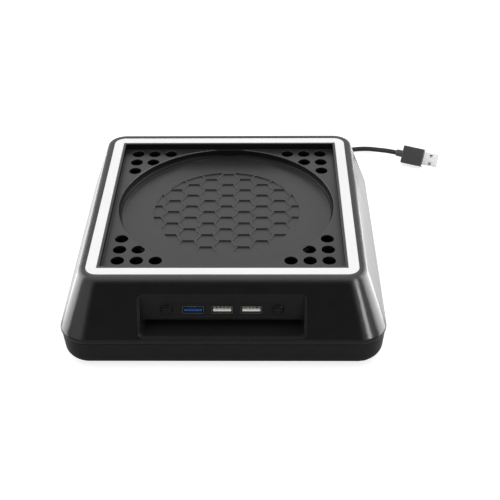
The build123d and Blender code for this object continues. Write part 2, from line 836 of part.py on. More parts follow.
blade_height = rotor_top - hub_bottom - 2 * hub_wall
root_chord = blade_height / sin(radians(blade_root_pitch))
tip_chord = blade_height / sin(radians(blade_tip_pitch))
with BuildPart() as blade:
    loft(sections=[
        blade_section(hub_radius - blade_thickness, root_chord, blade_root_pitch),
        blade_section(duct_radius, tip_chord, blade_tip_pitch),
    ])
    with BuildSketch(Plane.XY.offset(hub_bottom)):
        Circle(blade_tip_radius)
    extrude(amount=rotor_top - hub_bottom, mode=Mode.INTERSECT)

with BuildPart() as fan_rotor:
    with BuildSketch(Plane.XY.offset(hub_bottom)):
        Circle(hub_radius)
    extrude(amount=rotor_top - hub_bottom)
    fillet(edges_at(fan_rotor, hub_bottom), hub_wall)
    with BuildSketch(Plane.XY.offset(hub_bottom + hub_wall)):
        Circle(hub_radius - hub_wall)
    extrude(amount=rotor_top - hub_bottom, mode=Mode.SUBTRACT)
    with BuildSketch(Plane.XY.offset(hub_bottom)):
        Circle(bearing_diameter / 2)
    extrude(amount=shaft_boss_height)
    with BuildSketch(Plane.XY.offset(hub_bottom + hub_wall / 2)):
        Circle(shaft_diameter / 2)
    extrude(amount=fan_depth, mode=Mode.SUBTRACT)
    with PolarLocations(0, blade_count):
        add(blade.part)
write(fan_rotor.part, "fan_rotor")

with BuildPart() as fan_shaft:
    with BuildSketch(Plane.XY.offset(hub_bottom + hub_wall / 2)):
        Circle(shaft_diameter / 2)
    extrude(amount=motor_plate_under - motor_gap - hub_bottom - hub_wall / 2)
write(fan_shaft.part, "fan_shaft")

magnet_outer = hub_radius - hub_wall - fit_gap
with BuildPart() as fan_magnet:
    with BuildSketch(Plane.XY.offset(hub_bottom + hub_wall + fit_gap)):
        Circle(magnet_outer)
        Circle(magnet_outer - magnet_thickness, mode=Mode.SUBTRACT)
    extrude(amount=rotor_top - hub_bottom - 2 * hub_wall)
write(fan_magnet.part, "fan_magnet")

# Motor parts that stay with the fan frame
with BuildPart() as fan_bearing:
    with BuildSketch(Plane.XY.offset(bearing_bottom)):
        Circle(bearing_diameter / 2)
        Circle(shaft_diameter / 2 + shaft_gap, mode=Mode.SUBTRACT)
    extrude(amount=motor_plate_under - motor_gap - bearing_bottom)
write(fan_bearing.part, "fan_bearing")

tube_radius = bearing_diameter / 2 + bearing_tube_wall
stator_radius = magnet_outer - magnet_thickness - motor_gap
stator_bottom = bearing_bottom + motor_gap
stator_height = (motor_plate_under - stator_bottom) / 2
pole_width = stator_radius / 4
shoe_thickness = stator_radius / 8
coil_inner = tube_radius + 1.5 * shoe_thickness
coil_outer = stator_radius - 1.5 * shoe_thickness
with BuildPart() as fan_stator:
    with BuildSketch(Plane.XY.offset(stator_bottom)):
        Circle(stator_radius)
        Circle(stator_radius - shoe_thickness, mode=Mode.SUBTRACT)
        with PolarLocations(0, stator_poles, start_angle=45):
            Rectangle(2 * stator_radius, pole_width, align=(Align.MIN, Align.CENTER), mode=Mode.SUBTRACT)
        Circle(tube_radius + shoe_thickness)
        with PolarLocations(0, stator_poles):
            Rectangle(stator_radius - shoe_thickness / 2, pole_width, align=(Align.MIN, Align.CENTER))
        Circle(tube_radius, mode=Mode.SUBTRACT)
    extrude(amount=stator_height)
write(fan_stator.part, "fan_stator")

with BuildPart() as fan_coils:
    coil_build = pole_width / 3
    with BuildSketch(Plane.XY.offset(stator_bottom - coil_build)):
        with PolarLocations(coil_inner, stator_poles):
            Rectangle(coil_outer - coil_inner, pole_width + 2 * coil_build, align=(Align.MIN, Align.CENTER))
    extrude(amount=stator_height + 2 * coil_build)
    add(fan_stator.part, mode=Mode.SUBTRACT)
write(fan_coils.part, "fan_coils")

with BuildPart() as motor_board:
    with BuildSketch(Plane.XY.offset(motor_plate_under - board_thickness)):
        Circle(hub_radius - hub_wall)
        Circle(tube_radius, mode=Mode.SUBTRACT)
    extrude(amount=board_thickness)
write(motor_board.part, "motor_board")


# Leads inside the housing and the cord outside it
def corner_radii(route):
    """Radius of the arc at each corner of a route, as large as its two runs allow."""
    points = [Vector(*point) for point in route]
    radii = []
    for before, corner, after in zip(points, points[1:], points[2:]):
        turn = (corner - before).get_angle(after - corner)
        run = min((corner - before).length, (after - corner).length)
        radii.append(0.45 * run / tan(radians(turn) / 2))
    return radii


def round_lead(route, diameter, name):
    """Round lead along straight runs and tangent arcs, with its size check printed."""
    radii = corner_radii(route)
    with BuildPart() as lead:
        with BuildLine() as path:
            FilletPolyline(*route, radius=radii)
        with BuildSketch(Plane(origin=path.line @ 0, z_dir=path.line % 0)):
            Circle(diameter / 2)
        sweep()
    length = path.wire().length
    expected = pi * diameter**2 / 4 * length
    print(name, "radii", [round(radius, 1) for radius in radii])
    print(name, "length", round(length, 1), "volume ratio", round(lead.part.volume / expected, 5))
    write(lead.part, name)


lead_level = board_top + connector_height / 2
fan_lead_x = connector_spots["fan"]
fan_lead_level = fan_top - fan_flange / 2
round_lead([
    (fan_lead_x, -fan_size / 2, fan_lead_level),
    (fan_lead_x, -fan_size / 2 - lead_bend, fan_lead_level),
    (fan_lead_x, board_back + lead_exit, lead_level),
    (fan_lead_x, board_back, lead_level),
], lead_diameter, "fan_lead")

led_lead_x, led_lead_y = led_lead_spot
led_lead_end = connector_spots["lights"]
round_lead([
    (led_lead_x, led_lead_y, flange_top),
    (led_lead_x, led_lead_y, flange_under - led_lead_drop),
    (led_lead_x + led_lead_turn, led_lead_y + lead_diameter, lead_level - lead_diameter),
    (led_lead_end - led_lead_back, led_lead_y + lead_diameter, lead_level - lead_diameter / 2),
    (led_lead_end, board_back + lead_exit, lead_level),
    (led_lead_end, board_back, lead_level),
], lead_diameter, "led_lead")

relief_inner_y = base_half - 2 * wall
power_lead_x = -fan_size / 2 - power_lead_gap
power_lead_end = connector_spots["power"]
power_lead_level = base_floor_top + power_lead_rise
round_lead([
    (cable_exit_x, relief_inner_y, cable_exit_height),
    (cable_exit_x, relief_inner_y - power_lead_exit, cable_exit_height),
    (power_lead_x, relief_inner_y - power_lead_exit - power_lead_run, power_lead_level),
    (power_lead_x - lead_diameter / 2, fan_size / 4, power_lead_level),
    (power_lead_x, -fan_size / 3, power_lead_level),
    (power_lead_x + power_lead_gap, board_back + power_lead_exit, lead_level - power_lead_exit),
    (power_lead_end, board_back + power_lead_exit, lead_level),
    (power_lead_end, board_back, lead_level),
], lead_diameter, "power_lead")

# Strain relief in the rear wall
relief_wall_y = base_half + (cable_exit_height - base_bottom) / base_height * base_inset
relief_end_y = relief_wall_y + relief_length
relief_profile = [
    (relief_inner_y, 0), (relief_inner_y, relief_flange / 2),
    (base_half - wall, relief_flange / 2), (base_half - wall, relief_root / 2),
    (relief_wall_y, relief_root / 2),
]
for ring in range(relief_rings):
    groove_share = (ring + 1) / (relief_rings + 1)
    groove_start = relief_wall_y + groove_share * relief_length - relief_groove / 2
    ring_radius = (relief_root + (relief_tip - relief_root) * groove_share) / 2
    relief_profile += [
        (groove_start, ring_radius), (groove_start, ring_radius - relief_groove_depth),
        (groove_start + relief_groove, ring_radius - relief_groove_depth),
        (groove_start + relief_groove, ring_radius),
    ]
relief_profile += [(relief_end_y, relief_tip / 2), (relief_end_y, 0)]
with BuildPart() as strain_relief:
    with BuildSketch(Plane(origin=(cable_exit_x, 0, cable_exit_height), x_dir=(0, 1, 0), z_dir=(1, 0, 0))):
        with BuildLine():
            Polyline(*relief_profile, close=True)
        make_face()
    revolve(axis=Axis((cable_exit_x, 0, cable_exit_height), (0, 1, 0)))
write(strain_relief.part, "strain_relief")


# Plug on the cord's end, resting on the lower edge of its back
def heading(angle, climb=0.0):
    """Unit vector along a heading on the table, with a climb above it, both in degrees."""
    level = cos(radians(climb))
    return Vector(cos(radians(angle)) * level, sin(radians(angle)) * level, sin(radians(climb)))


plug_axis = heading(plug_heading)
plug_face = heading(plug_heading - 90, plug_lean)
edge_drop = (plug_width / 2 - plug_corner) * cos(radians(plug_lean))
back_drop = (plug_thickness / 2 - plug_corner) * sin(radians(plug_lean))
plug_level = edge_drop + back_drop + plug_corner + plug_hover
nose = Vector(plug_nose[0], plug_nose[1], plug_level)
plug_rear = nose - plug_axis * plug_length
boot_axis = heading(boot_heading, boot_climb)
boot_tip = plug_rear - boot_axis * boot_length
with BuildPart() as plug_body:
    with BuildSketch(Plane(origin=plug_rear, x_dir=plug_face, z_dir=plug_axis)):
        RectangleRounded(plug_thickness, plug_width, plug_corner)
    extrude(amount=plug_length)
    ends = plug_body.faces().sort_by(Axis(plug_rear, plug_axis))
    fillet(ends[0].edges() + ends[-1].edges(), plug_edge)
    with BuildSketch(Plane(origin=boot_tip, z_dir=boot_axis)):
        Circle(boot_diameter / 2)
    extrude(amount=boot_length + boot_round)
    fillet(plug_body.edges().sort_by(Axis(plug_rear, boot_axis))[0], boot_round)
write(plug_body.part, "plug_body")

shell_room_thickness = plug_shell_thickness - 2 * plug_sheet
shell_room_width = plug_shell_width - 2 * plug_sheet
with BuildPart() as plug_shell:
    with BuildSketch(Plane(origin=nose, x_dir=plug_face, z_dir=plug_axis)):
        RectangleRounded(plug_shell_thickness, plug_shell_width, 2 * plug_sheet)
        Rectangle(shell_room_thickness, shell_room_width, mode=Mode.SUBTRACT)
    extrude(amount=plug_shell_length)
    hole_middle = nose + plug_axis * (plug_shell_length - plug_hole_setback)
    hole_plane = Plane(origin=hole_middle, x_dir=plug_axis, z_dir=plug_face)
    with BuildSketch(hole_plane.offset(-plug_shell_thickness)):
        with GridLocations(1, plug_hole_pitch, 1, 2):
            Rectangle(plug_hole, plug_hole)
    extrude(amount=2 * plug_shell_thickness, mode=Mode.SUBTRACT)
write(plug_shell.part, "plug_shell")

with BuildPart() as plug_tongue:
    with BuildSketch(Plane(origin=nose, x_dir=plug_face, z_dir=plug_axis)):
        with Locations((-shell_room_thickness / 2, 0)):
            Rectangle(tongue_thickness, shell_room_width, align=(Align.MIN, Align.CENTER))
    extrude(amount=plug_shell_length - tongue_setback)
write(plug_tongue.part, "plug_tongue")

# Cord from the strain relief to the plug, lying on the table
lie = cable_diameter / 2 + plug_hover
cable_route = [
    (cable_exit_x, relief_end_y, cable_exit_height),
    (-40.0, 127.0, 11.0),
    (-35.0, 143.0, 6.0),
    (-20.0, 155.5, lie),
    (6.0, 162.0, lie),
    (36.0, 160.0, lie),
    (62.0, 160.2, lie),
    (82.0, 164.5, lie),
    (95.0, 170.0, lie),
    (104.0, 172.4, 2.2),
    (113.0, 171.6, 3.2),
    (121.0, 167.3, 4.8),
    tuple(boot_tip - boot_axis * boot_run),
    tuple(boot_tip),
]
round_lead(cable_route, cable_diameter, "usb_cable")
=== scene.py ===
"""Looks of a square cooling stand for a tall, square game console.

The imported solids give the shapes. This script adds the camera, the studio, the
materials, the USB lead as one smooth curve, and the small parts: the grooved tongues
in the sockets, the contacts in sockets and plug, the screws under the base and the
marks on the buttons.
Everything is in metres, in the frame of the solids: +Z up, the front faces -Y.
"""

from math import cos, pi, radians, sin

import bmesh
import bpy
from mathutils import Matrix, Vector


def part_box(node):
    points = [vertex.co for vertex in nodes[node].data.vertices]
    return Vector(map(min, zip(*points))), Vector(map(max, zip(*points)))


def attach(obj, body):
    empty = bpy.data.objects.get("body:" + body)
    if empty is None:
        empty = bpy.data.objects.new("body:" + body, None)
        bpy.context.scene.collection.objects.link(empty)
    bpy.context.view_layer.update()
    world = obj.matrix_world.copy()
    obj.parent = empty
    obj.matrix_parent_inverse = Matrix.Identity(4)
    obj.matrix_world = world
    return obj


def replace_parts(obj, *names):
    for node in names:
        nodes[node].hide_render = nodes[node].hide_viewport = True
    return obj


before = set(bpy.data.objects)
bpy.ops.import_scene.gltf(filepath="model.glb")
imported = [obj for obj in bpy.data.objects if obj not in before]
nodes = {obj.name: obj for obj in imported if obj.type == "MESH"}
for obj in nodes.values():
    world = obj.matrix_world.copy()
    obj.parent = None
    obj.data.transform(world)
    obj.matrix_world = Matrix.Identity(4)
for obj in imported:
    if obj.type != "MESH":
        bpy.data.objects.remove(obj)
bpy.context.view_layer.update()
MM = 0.001

# Camera, solved from the square frame in the photograph
camera_place = Vector((26.54, -580.43, 432.92)) * MM
camera_yaw = radians(-1.063)
camera_tilt = radians(35.439)
camera_roll = radians(-0.653)
camera_lens = 73.56
camera_sensor = 36.0
camera_near = 0.01

# Floor: its extent, its own colour and how brightly it shows
floor_width = 8.0
floor_front = -0.42
floor_back = 4.0
floor_cells = 8
floor_albedo = 0.45
floor_glow = 0.78
floor_roughness = 0.9
# Where it fades along Y, for mirrored rays only, and how dark it is there
mirror_from = -0.11
mirror_to = -0.03
floor_shade = 0.7

# World: light on dull surfaces, and the dim side that mirrors the camera's side
white = (1.0, 1.0, 1.0)
sky_fill = 0.8
dark_front = 0.04
dark_from = -0.97
dark_to = -0.86

# Lamps
top_lamp_place = (0.0, 0.1, 1.6)
top_lamp_target = (0.0, 0.1, 0.0)
top_lamp_size = 2.0
top_lamp_watts = 8.4
# Panels that only show as reflections: side, start along Y, watts upright and lying
side_panels = {"left": (-1, -0.15, 4.2, 1.2), "right": (1, -0.16, 4.9, 1.6)}
panel_reach = 0.45
panel_end = 0.55
panel_level = 0.25
panel_height = 0.5
low_panel_place = (0.305, 0.065, 0.002)
low_panel_target = (0.305, 0.065, 1.0)
low_panel_size = (0.31, 0.35)
strip_place = (0.518, -0.527, 0.25)
strip_target = (0.09, -0.09, 0.25)
strip_size = (0.14, 0.5)
strip_watts = 2.0

# Noise: the middle part of its values that is spread over a range
noise_low = 0.3
noise_high = 0.7
# Grain of the plastics, in features per metre, and its depth
fine_grain = 2600.0
coarse_grain = 2200.0
coarse_relief = 0.2
grain_depth = 0.03 * MM
plastic_ior = 1.5

# Rounding of edges in the shading
bevel_samples = 6
edge_round = 0.4 * MM
rim_round = 4.5 * MM

# Heights of the tray, and pairs of heights between which the rim's rounding changes, or the
# painted shade and painted light begin or end
dish_floor = 50.25 * MM
dish_top = 56.4 * MM
rim_starts = (54.0 * MM, 57.0 * MM)
ledge_starts = (49.0 * MM, 50.0 * MM)
ledge_ends = (dish_top - 0.4 * MM, dish_top)
wall_starts = (dish_floor, dish_floor + 0.25 * MM)
wall_ends = (dish_top - 0.8 * MM, dish_top - 0.5 * MM)
seat_starts = (dish_top + 0.2 * MM, dish_top + 0.5 * MM)
relief_ends = (dish_floor - 0.1 * MM, dish_floor)

# Painted shade on the ledge of the housing under the tray: a darker tone and weaker reflections
# there
ledge_reach = 76.0 * MM
ledge_shade_tone = (0.002, 0.002, 0.002)
housing_gloss = 0.5
ledge_shade_gloss = 0.0

# Painted shade on the walls of the tray's dish and seat, as a darker tone with weaker reflections,
# and painted light on the slanting walls in its relief
upright_limit = 0.5
slant_limit = 0.75
wall_shade_tone = (0.006, 0.006, 0.0062)
wall_shade_gloss = 0.08
tray_gloss = 0.55
# Pale tone that paints light on the slanting walls of the relief
slant_light_tone = (0.06, 0.06, 0.061)

# USB lead: the points of the solid one in millimetres, five of them moved near the plug
lead_diameter = 3.8 * MM
lead_sides = 8
lead_steps = 16
lead_points = [
    (-40.0, 113.978, 11.0),
    (-40.0, 127.0, 11.0),
    (-35.0, 143.0, 6.0),
    (-20.0, 155.5, 1.95),
    (6.0, 162.0, 1.95),
    (36.0, 160.0, 1.95),
    (62.0, 160.2, 1.95),
    (82.0, 164.3, 1.95),
    (95.0, 169.4, 1.95),
    (104.0, 171.5, 2.2),
    (113.0, 170.4, 3.0),
    (121.0, 165.9, 4.5),
    (128.414, 160.764, 6.456),
    (135.086, 156.431, 7.292),
]

# The lengths below are in millimetres, except where they are multiplied by MM here.

# Tongues in the sockets, with a groove under each contact
tongue_setback = 0.15
tongue_width = 11.0
tongue_low = 1.45
tongue_high = 2.9
tongue_round = 0.15
groove_width = 1.3
groove_depth = 0.35
socket_sheet = 0.35
socket_back = 3.5

# Spring contacts: rows from the middle, and (reach, rise) along each strip
contact_rows = (-3.5, -1.0, 1.0, 3.5)
contact_width = 1.0
contact_sheet = 0.15
contact_profile = [(2.0, 0.05), (2.7, 0.42), (3.6, 0.55), (5.0, 0.45), (9.6, 0.08)]

# Plug, whose broad face leans back, and the flat contacts in it
plug_heading = radians(-24.9)
plug_lean = radians(30.0)
plug_nose = Vector((156.1, 145.75, 7.919)) * MM
plug_room = 3.8
plug_tongue = 1.85
plug_contact_start = 2.0
plug_contact_end = 10.6
plug_contact_sheet = 0.05

# Screws under the base: head and shank radius and the thread's pitch
housing_screw = (2.8, 1.5, 1.0)
fan_screw = (3.7, 2.15, 1.4)
screw_sides = 40
# Height of the head, its rounded edge as (inset, height), and the plain shank above it
screw_seat = 2.0
head_edge = ((0.35, 0.0), (0.1, 0.1), (0.0, 0.35))
thread_start = 0.4
# Thread: radius of its root and its tip as shares of the shank's, heights as shares of the pitch
thread_root = 0.78
thread_tip = 0.4
root_start = 0.3
root_end = 0.7
# Cross recess, as shares of the head's radius and height, and how far it narrows
recess_arm = 0.56
recess_width = 0.15
recess_depth = 0.55
recess_foot = 0.7

# Marks on the buttons, with angles in degrees, and the hollow face that they lie on
mark_radius = 1.55
mark_line = 0.34
mark_rise = 0.05
mark_step = 10
power_arc = (125, 415)
power_bar = (0.5, mark_radius + 0.35)
light_ring = mark_radius / 2
light_rays = (mark_radius * 0.8, mark_radius + 0.3)
ray_step = 45
ray_parts = 3
button_radius = 3.4
button_dish = 0.4
button_rim = 0.6


def material(name):
    """New material with its node tree and its shader."""
    made = bpy.data.materials.new(name)
    made.use_nodes = True
    tree = made.node_tree
    return made, tree, tree.nodes["Principled BSDF"]


def feed(tree, socket, value):
    """Link an output to a socket, or set a plain number on it."""
    if isinstance(value, bpy.types.NodeSocket):
        tree.links.new(value, socket)
    else:
        socket.default_value = value


def add_node(tree, kind, **settings):
    """Node of a kind with its inputs set by name."""
    node = tree.nodes.new(kind)
    for key, value in settings.items():
        node.inputs[key].default_value = value
    return node


def calculated(tree, operation, *values):
    """Result of a Math node."""
    node = tree.nodes.new("ShaderNodeMath")
    node.operation = operation
    for socket, value in zip(node.inputs, values):
        feed(tree, socket, value)
    return node.outputs["Value"]


def mapped(tree, value, source, target, smooth=False):
    """Value carried from one range to another, and held at its ends."""
    node = tree.nodes.new("ShaderNodeMapRange")
    if smooth:
        node.interpolation_type = "SMOOTHSTEP"
    for name, number in zip(("From Min", "From Max", "To Min", "To Max"), (*source, *target)):
        node.inputs[name].default_value = number
    tree.links.new(value, node.inputs["Value"])
    return node.outputs["Result"]


def mixed(tree, factor, first, second):
    """Number that goes from the first to the second by a factor."""
    node = tree.nodes.new("ShaderNodeMix")
    tree.links.new(factor, node.inputs["Factor"])
    feed(tree, node.inputs["A"], first)
    feed(tree, node.inputs["B"], second)
    return node.outputs["Result"]


def coordinates(tree, kind="Object"):
    """Coordinates of a surface, or of the world's sphere with Generated."""
    return tree.nodes.new("ShaderNodeTexCoord").outputs[kind]


def axes_of(tree, vector):
    """The X, Y and Z outputs of a vector."""
    split = tree.nodes.new("ShaderNodeSeparateXYZ")
    tree.links.new(vector, split.inputs["Vector"])
    return split.outputs


def object_noise(tree, scale, detail=3.0):
    """Noise in the object's own coordinates, with a scale in features per metre."""
    noise = add_node(tree, "ShaderNodeTexNoise", Scale=scale, Detail=detail)
    tree.links.new(coordinates(tree), noise.inputs["Vector"])
    return noise.outputs["Fac"]


def spread(tree, value, low, high):
    """Map a noise value onto a range."""
    return mapped(tree, value, (noise_low, noise_high), (low, high))


def two_tone(tree, value, first, second):
    """Colour between two tones, steered by a noise value."""
    node = tree.nodes.new("ShaderNodeValToRGB")
    ends = zip(node.color_ramp.elements, (noise_low, noise_high), (first, second))
    for element, position, tone in ends:
        element.position = position
        element.color = (*tone, 1)
    tree.links.new(value, node.inputs["Fac"])
    return node.outputs["Color"]


def bumped(tree, shader, value, strength, distance, edge=0.0):
    """Fine relief from a noise value, over edges that look rounded by a radius."""
    bump = add_node(tree, "ShaderNodeBump", Strength=strength, Distance=distance)
    tree.links.new(value, bump.inputs["Height"])
    tree.links.new(bump.outputs["Normal"], shader.inputs["Normal"])
    if edge:
        rounded = add_node(tree, "ShaderNodeBevel", Radius=edge)
        rounded.samples = bevel_samples
        tree.links.new(rounded.outputs["Normal"], bump.inputs["Normal"])


def greys(low, high, blue=0.0):
    """Two neutral tones, whose blue is a little higher or lower if asked."""
    return (low, low, low + blue), (high, high, high + blue)


def moulded_plastic(name, tones, roughness, grain=fine_grain, relief=0.12, specular=0.5, edge=0.0):
    """Moulded plastic with a fine spark-eroded grain and a slightly uneven sheen."""
    made, tree, shader = material(name)
    clouds = object_noise(tree, scale=160.0, detail=4.0)
    tree.links.new(two_tone(tree, clouds, *tones), shader.inputs["Base Color"])
    sheen = spread(tree, object_noise(tree, scale=60.0), *roughness)
    tree.links.new(sheen, shader.inputs["Roughness"])
    bumped(tree, shader, object_noise(tree, grain, detail=2.0), relief, grain_depth, edge)
    shader.inputs["IOR"].default_value = plastic_ior
    shader.inputs["Specular IOR Level"].default_value = specular
    return made


def plated_metal(name, tones, roughness):
    """Rolled or plated metal with faint streaks along the sheet."""
    made, tree, shader = material(name)
    stretch = tree.nodes.new("ShaderNodeMapping")
    stretch.inputs["Scale"].default_value = (1.0, 0.08, 1.0)
    tree.links.new(coordinates(tree), stretch.inputs["Vector"])
    noise = add_node(tree, "ShaderNodeTexNoise", Scale=900.0, Detail=4.0)
    tree.links.new(stretch.outputs["Vector"], noise.inputs["Vector"])
    streaks = noise.outputs["Fac"]
    tree.links.new(two_tone(tree, streaks, *tones), shader.inputs["Base Color"])
    tree.links.new(spread(tree, streaks, *roughness), shader.inputs["Roughness"])
    bumped(tree, shader, streaks, strength=0.1, distance=0.01 * MM)
    shader.inputs["Metallic"].default_value = 1.0
    return made


def soft_rubber(name, tones, specular=0.5):
    """Rubber or soft plastic jacket with a dull, slightly dusty surface."""
    made, tree, shader = material(name)
    dust = object_noise(tree, scale=60.0, detail=5.0)
    tree.links.new(two_tone(tree, dust, *tones), shader.inputs["Base Color"])
    sheen = spread(tree, object_noise(tree, scale=300.0), low=0.45, high=0.6)
    tree.links.new(sheen, shader.inputs["Roughness"])
    grain = object_noise(tree, scale=3200.0, detail=2.0)
    bumped(tree, shader, grain, strength=0.18, distance=grain_depth)
    shader.inputs["Specular IOR Level"].default_value = specular
    return made


def light_guide(name):
    """Milky plastic of the lit frame, smooth on top, which scatters light inside it."""
    made, tree, shader = material(name)
    clouds = object_noise(tree, scale=14.0)
    tree.links.new(two_tone(tree, clouds, *greys(0.86, 0.9)), shader.inputs["Base Color"])
    sheen = spread(tree, object_noise(tree, scale=120.0), low=0.28, high=0.36)
    tree.links.new(sheen, shader.inputs["Roughness"])
    shader.inputs["Subsurface Weight"].default_value = 0.15
    shader.inputs["Subsurface Radius"].default_value = (0.002, 0.002, 0.002)
    return made


def circuit_board(name):
    """Green solder mask with the faint relief of tracks under it."""
    made, tree, shader = material(name)
    tracks = add_node(tree, "ShaderNodeTexBrick", Scale=220.0, Color1=(0.01, 0.11, 0.045, 1),
                      Color2=(0.012, 0.13, 0.05, 1), Mortar=(0.02, 0.19, 0.08, 1))
    tree.links.new(coordinates(tree), tracks.inputs["Vector"])
    tree.links.new(tracks.outputs["Color"], shader.inputs["Base Color"])
    bumped(tree, shader, tracks.outputs["Fac"], strength=0.3, distance=0.03 * MM)
    shader.inputs["Roughness"].default_value = 0.3
    return made


def layered_metal(name, tones, scale, distortion, direction, relief, metallic, roughness):
    """Metal in close layers, such as turns of wire or stacked sheets."""
    made, tree, shader = material(name)
    waves = add_node(tree, "ShaderNodeTexWave", Scale=scale, Distortion=distortion)
    waves.bands_direction = direction
    tree.links.new(coordinates(tree), waves.inputs["Vector"])
    layers = waves.outputs["Fac"]
    tree.links.new(two_tone(tree, layers, *tones), shader.inputs["Base Color"])
    bumped(tree, shader, layers, *relief)
    shader.inputs["Metallic"].default_value = metallic
    shader.inputs["Roughness"].default_value = roughness
    return made


def height_step(tree, heights, below, above):
    """Value that changes smoothly between two heights of the object."""
    height = axes_of(tree, coordinates(tree))["Z"]
    return mapped(tree, height, heights, (below, above), smooth=True)


def smaller(tree, value, limit):
    """One where the size of a value is under a limit."""
    return calculated(tree, "LESS_THAN", calculated(tree, "ABSOLUTE", value), limit)


def product(tree, first, second):
    """Two values multiplied."""
    return calculated(tree, "MULTIPLY", first, second)


def retint(tree, shader, amount, tone):
    """Blend the base colour towards a tone by an amount."""
    colour = shader.inputs["Base Color"]
    blend = tree.nodes.new("ShaderNodeMix")
    blend.data_type = "RGBA"
    first, second, result = blend.inputs[6], blend.inputs[7], blend.outputs[2]
    tree.links.new(amount, blend.inputs["Factor"])
    tree.links.new(colour.links[0].from_socket, first)
    second.default_value = (*tone, 1)
    tree.links.new(result, colour)


def weaken_reflections(tree, shader, amount, glossy, dull):
    """Lower the reflections from one level to another by an amount, where shade is painted."""
    gloss = mapped(tree, amount, (0.0, 1.0), (glossy, dull))
    tree.links.new(gloss, shader.inputs["Specular IOR Level"])


def shader_of(finish):
    """Tree and shader of a finish."""
    tree = finish.node_tree
    return tree, next(node for node in tree.nodes if node.type == "BSDF_PRINCIPLED")


def round_rim_and_shade_ledge(finish):
    """Softer rounding on the rim of the housing than elsewhere, and painted shade on the ledge:
    darker, with weaker reflections.
    """
    tree, shader = shader_of(finish)
    bevel = next(node for node in tree.nodes if node.type == "BEVEL")
    radius = height_step(tree, rim_starts, edge_round, rim_round)
    tree.links.new(radius, bevel.inputs["Radius"])
    place = axes_of(tree, coordinates(tree))
    inside = product(tree, smaller(tree, place["X"], ledge_reach),
                     smaller(tree, place["Y"], ledge_reach))
    band = product(tree, height_step(tree, ledge_starts, 0.0, 1.0),
                   height_step(tree, ledge_ends, 1.0, 0.0))
    ledge = product(tree, inside, band)
    # Painted shade: the ledge is darkened and its reflections are weakened
    retint(tree, shader, ledge, ledge_shade_tone)
    weaken_reflections(tree, shader, ledge, housing_gloss, ledge_shade_gloss)


def paint_dish_shade_and_light(finish):
    """Painted shade on the walls round the dish and the seat, and painted light on the slanting
    walls in the relief.
    """
    tree, shader = shader_of(finish)
    dish_wall = product(tree, height_step(tree, wall_starts, 0.0, 1.0),
                        height_step(tree, wall_ends, 1.0, 0.0))
    facing = axes_of(tree, tree.nodes.new("ShaderNodeNewGeometry").outputs["True Normal"])
    upright = smaller(tree, facing["Z"], upright_limit)
    seat_wall = product(tree, upright, height_step(tree, seat_starts, 0.0, 1.0))
    wall = calculated(tree, "MAXIMUM", dish_wall, seat_wall)
    # Painted shade: the dish and seat walls are darkened and their reflections weakened
    retint(tree, shader, wall, wall_shade_tone)
    weaken_reflections(tree, shader, wall, tray_gloss, wall_shade_gloss)
    # Painted light: the slanting walls of the relief are made paler, as if lit
    slant = product(tree, smaller(tree, facing["Y"], slant_limit), upright)
    relief = height_step(tree, relief_ends, 1.0, 0.0)
    retint(tree, shader, product(tree, slant, relief), slant_light_tone)


housing_black = moulded_plastic(
    "housing_black", ((0.0075, 0.0075, 0.0078), (0.009, 0.009, 0.0094)), (0.18, 0.21),
    edge=edge_round)
# Painted shade on the ledge under the tray
round_rim_and_shade_ledge(housing_black)
base_black = moulded_plastic(
    "base_black", greys(0.0115, 0.014, 0.0005), (0.4, 0.46), coarse_grain, coarse_relief,
    specular=0.25)
tray_black = moulded_plastic(
    "tray_black", greys(0.013, 0.017, 0.0005), (0.34, 0.4), coarse_grain, coarse_relief,
    edge=edge_round)
# Painted shade on the dish and seat walls, painted light on the slanting walls of the relief
paint_dish_shade_and_light(tray_black)
panel_black = moulded_plastic(
    "panel_black", ((0.009, 0.009, 0.0094), (0.011, 0.011, 0.0115)), (0.34, 0.4),
    specular=0.25, edge=edge_round)
button_black = moulded_plastic("button_black", greys(0.005, 0.007), (0.14, 0.18), specular=0.25)
mark_grey = moulded_plastic("mark_grey", greys(0.018, 0.024, 0.001), (0.3, 0.4), specular=0.3)
switch_black = moulded_plastic("switch_black", greys(0.012, 0.018), (0.4, 0.5))
fan_black = moulded_plastic("fan_black", greys(0.012, 0.02), (0.42, 0.52), relief=0.25)
socket_blue = moulded_plastic(
    "socket_blue", ((0.0085, 0.07, 0.24), (0.0105, 0.083, 0.276)), (0.35, 0.45))
socket_white = moulded_plastic(
    "socket_white", ((0.8, 0.78, 0.74), (0.86, 0.84, 0.8)), (0.35, 0.45))
lamp_yellow = moulded_plastic(
    "lamp_yellow", ((0.8, 0.74, 0.42), (0.86, 0.8, 0.5)), (0.2, 0.3))
plug_grey = moulded_plastic(
    "plug_grey", greys(0.034, 0.042, 0.0015), (0.42, 0.5), relief=0.25, specular=0.35)
magnet_grey = moulded_plastic(
    "magnet_grey", ((0.05, 0.045, 0.045), (0.08, 0.07, 0.07)), (0.5, 0.6), relief=0.4)
plated_steel = plated_metal("plated_steel", greys(0.82, 0.9, -0.01), (0.16, 0.26))
socket_steel = plated_metal(
    "socket_steel", ((0.2, 0.2, 0.196), (0.27, 0.27, 0.265)), (0.26, 0.36))
screw_steel = plated_metal("screw_steel", greys(0.4, 0.55, 0.02), (0.25, 0.38))
contact_gold = plated_metal(
    "contact_gold", ((0.75, 0.5, 0.18), (0.85, 0.6, 0.25)), (0.2, 0.3))
